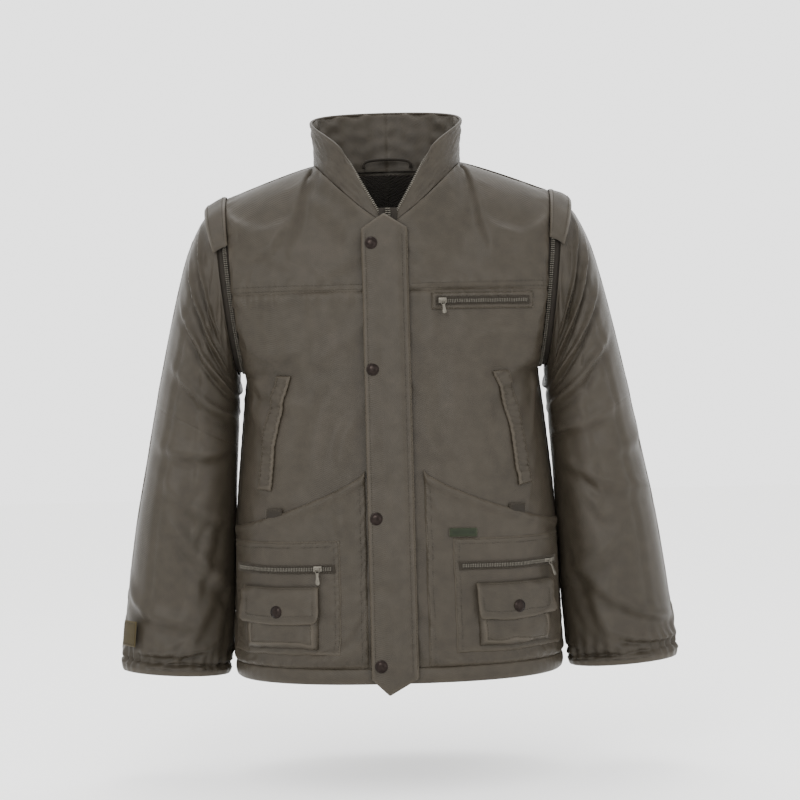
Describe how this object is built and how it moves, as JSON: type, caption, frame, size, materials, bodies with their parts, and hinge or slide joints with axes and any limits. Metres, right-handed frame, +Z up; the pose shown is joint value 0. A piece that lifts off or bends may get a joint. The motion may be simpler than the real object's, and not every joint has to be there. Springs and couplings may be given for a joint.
{
  "type": "beekeeping jacket",
  "caption": "Padded zip-front work jacket with a stand collar, snap storm flap, zipped and flapped pockets and sleeves that zip off at the armholes.",
  "frame": {"origin": "centre of the neck hole, level with the nape of the neck", "axes": "+Z up, the front faces -Y, +X is the wearer's left"},
  "size_m": [0.782, 0.3014, 0.8029],
  "materials": {
    "shell_cloth": "satin twill, washed",
    "trim_cloth": "woven tape",
    "zip_tape": "woven zip tape",
    "fleece": "brushed fleece",
    "zip_metal": "antique nickel",
    "snap_metal": "gunmetal",
    "label_cloth": "damask woven",
    "patch_cloth": "woven"
  },
  "bodies": {
    "root": {"back_panel": "shell_cloth", "front_panel_right": "shell_cloth", "front_panel_left": "shell_cloth", "front_yoke_right": "shell_cloth", "front_yoke_left": "shell_cloth", "body_lining": "fleece", "collar": "shell_cloth", "collar_lining": "fleece", "hem_casing": "shell_cloth", "hanger_loop": "trim_cloth", "main_zip_right": "zip_tape", "main_zip_left": "zip_tape", "placket_stud_1": "snap_metal", "placket_stud_2": "snap_metal", "placket_stud_3": "snap_metal", "placket_stud_4": "snap_metal", "chest_zip": "zip_tape", "woven_label": "label_cloth", "shoulder_wing_right": "shell_cloth", "armhole_zip_right": "zip_tape", "hand_pocket_welt_right": "shell_cloth", "game_pocket_right": "shell_cloth", "hook_tab_right": "trim_cloth", "cargo_panel_right": "shell_cloth", "cargo_zip_right": "zip_tape", "bellows_pocket_right": "shell_cloth", "pocket_stud_right": "snap_metal", "shoulder_wing_left": "shell_cloth", "armhole_zip_left": "zip_tape", "hand_pocket_welt_left": "shell_cloth", "game_pocket_left": "shell_cloth", "hook_tab_left": "trim_cloth", "cargo_panel_left": "shell_cloth", "cargo_zip_left": "zip_tape", "bellows_pocket_left": "shell_cloth", "pocket_stud_left": "snap_metal"},
    "storm_flap": {"storm_flap": "shell_cloth", "placket_cap_1": "snap_metal", "placket_cap_2": "snap_metal", "placket_cap_3": "snap_metal", "placket_cap_4": "snap_metal"},
    "main_zip_slider": {"main_zip_slider": "zip_metal", "main_zip_pull": "zip_metal"},
    "chest_zip_slider": {"chest_zip_slider": "zip_metal"},
    "chest_zip_pull": {"chest_zip_pull": "zip_metal"},
    "cargo_slider_right": {"cargo_zip_right_slider": "zip_metal"},
    "cargo_pull_right": {"cargo_zip_right_pull": "zip_metal"},
    "pocket_flap_right": {"pocket_flap_right": "shell_cloth", "flap_cap_right": "snap_metal"},
    "sleeve_zip_right": {"sleeve_zip_right": "zip_tape"},
    "upper_sleeve_right": {"upper_sleeve_right": "shell_cloth"},
    "lower_sleeve_right": {"lower_sleeve_right": "shell_cloth", "sleeve_patch": "patch_cloth"},
    "cargo_slider_left": {"cargo_zip_left_slider": "zip_metal"},
    "cargo_pull_left": {"cargo_zip_left_pull": "zip_metal"},
    "pocket_flap_left": {"pocket_flap_left": "shell_cloth", "flap_cap_left": "snap_metal"},
    "sleeve_zip_left": {"sleeve_zip_left": "zip_tape"},
    "upper_sleeve_left": {"upper_sleeve_left": "shell_cloth"},
    "lower_sleeve_left": {"lower_sleeve_left": "shell_cloth"}
  },
  "joints": [
    {"name": "storm_flap_swing", "type": "hinge", "parent": "root", "child": "storm_flap", "pos_m": [0.026, -0.13454, -0.40141], "axis": [0, 0.0733, 0.9973], "range_deg": [0, 150]},
    {"name": "main_zip_travel", "type": "slide", "parent": "root", "child": "main_zip_slider", "axis": [0, -0.0733, -0.9973], "range_m": [0, 0.57]},
    {"name": "chest_zip_travel", "type": "hinge", "parent": "root", "child": "chest_zip_slider", "pos_m": [0.05954, 0.66439, -0.2015], "axis": [0, 0, 1], "range_deg": [0, 7.7]},
    {"name": "chest_pull_swing", "type": "hinge", "parent": "chest_zip_slider", "child": "chest_zip_pull", "pos_m": [0.07027, -0.12009, -0.20091], "axis": [-0.9996, -0.0294, 0], "range_deg": [0, 150]},
    {"name": "cargo_zip_travel_right", "type": "hinge", "parent": "root", "child": "cargo_slider_right", "pos_m": [-0.0679, 0.05738, -0.556], "axis": [0, 0, -1], "range_deg": [0, 27]},
    {"name": "cargo_pull_swing_right", "type": "hinge", "parent": "cargo_slider_right", "child": "cargo_pull_right", "pos_m": [-0.10842, -0.14244, -0.55499], "axis": [-0.9725, 0.233, 0], "range_deg": [0, 150]},
    {"name": "pocket_flap_lift_right", "type": "hinge", "parent": "root", "child": "pocket_flap_right", "pos_m": [-0.16402, -0.12473, -0.57809], "axis": [-0.8866, 0.4626, 0], "range_deg": [0, 120]},
    {"name": "sleeve_zip_off_right", "type": "slide", "parent": "root", "child": "sleeve_zip_right", "axis": [-0.8704, 0, -0.4924], "range_m": [0, 0.12]},
    {"name": "sleeve_raise_right", "type": "hinge", "parent": "sleeve_zip_right", "child": "upper_sleeve_right", "pos_m": [-0.243, 0, -0.054], "axis": [0, 1, 0], "range_deg": [0, 35]},
    {"name": "elbow_bend_right", "type": "hinge", "parent": "upper_sleeve_right", "child": "lower_sleeve_right", "pos_m": [-0.292, -0.0688, -0.4256], "axis": [-0.9855, 0, 0.1699], "range_deg": [0, 30]},
    {"name": "cargo_zip_travel_left", "type": "hinge", "parent": "root", "child": "cargo_slider_left", "pos_m": [0.0631, 0.06667, -0.556], "axis": [0, 0, -1], "range_deg": [0, 27]},
    {"name": "cargo_pull_swing_left", "type": "hinge", "parent": "cargo_slider_left", "child": "cargo_pull_left", "pos_m": [0.19447, -0.10277, -0.55526], "axis": [-0.7644, -0.6447, 0], "range_deg": [0, 150]},
    {"name": "pocket_flap_lift_left", "type": "hinge", "parent": "root", "child": "pocket_flap_left", "pos_m": [0.16402, -0.12473, -0.57809], "axis": [-0.8866, -0.4626, 0], "range_deg": [0, 120]},
    {"name": "sleeve_zip_off_left", "type": "slide", "parent": "root", "child": "sleeve_zip_left", "axis": [0.8704, 0, -0.4924], "range_m": [0, 0.12]},
    {"name": "sleeve_raise_left", "type": "hinge", "parent": "sleeve_zip_left", "child": "upper_sleeve_left", "pos_m": [0.243, 0, -0.054], "axis": [0, -1, 0], "range_deg": [0, 35]},
    {"name": "elbow_bend_left", "type": "hinge", "parent": "upper_sleeve_left", "child": "lower_sleeve_left", "pos_m": [0.292, -0.0688, -0.4256], "axis": [-0.9855, 0, -0.1699], "range_deg": [0, 30]}
  ]
}
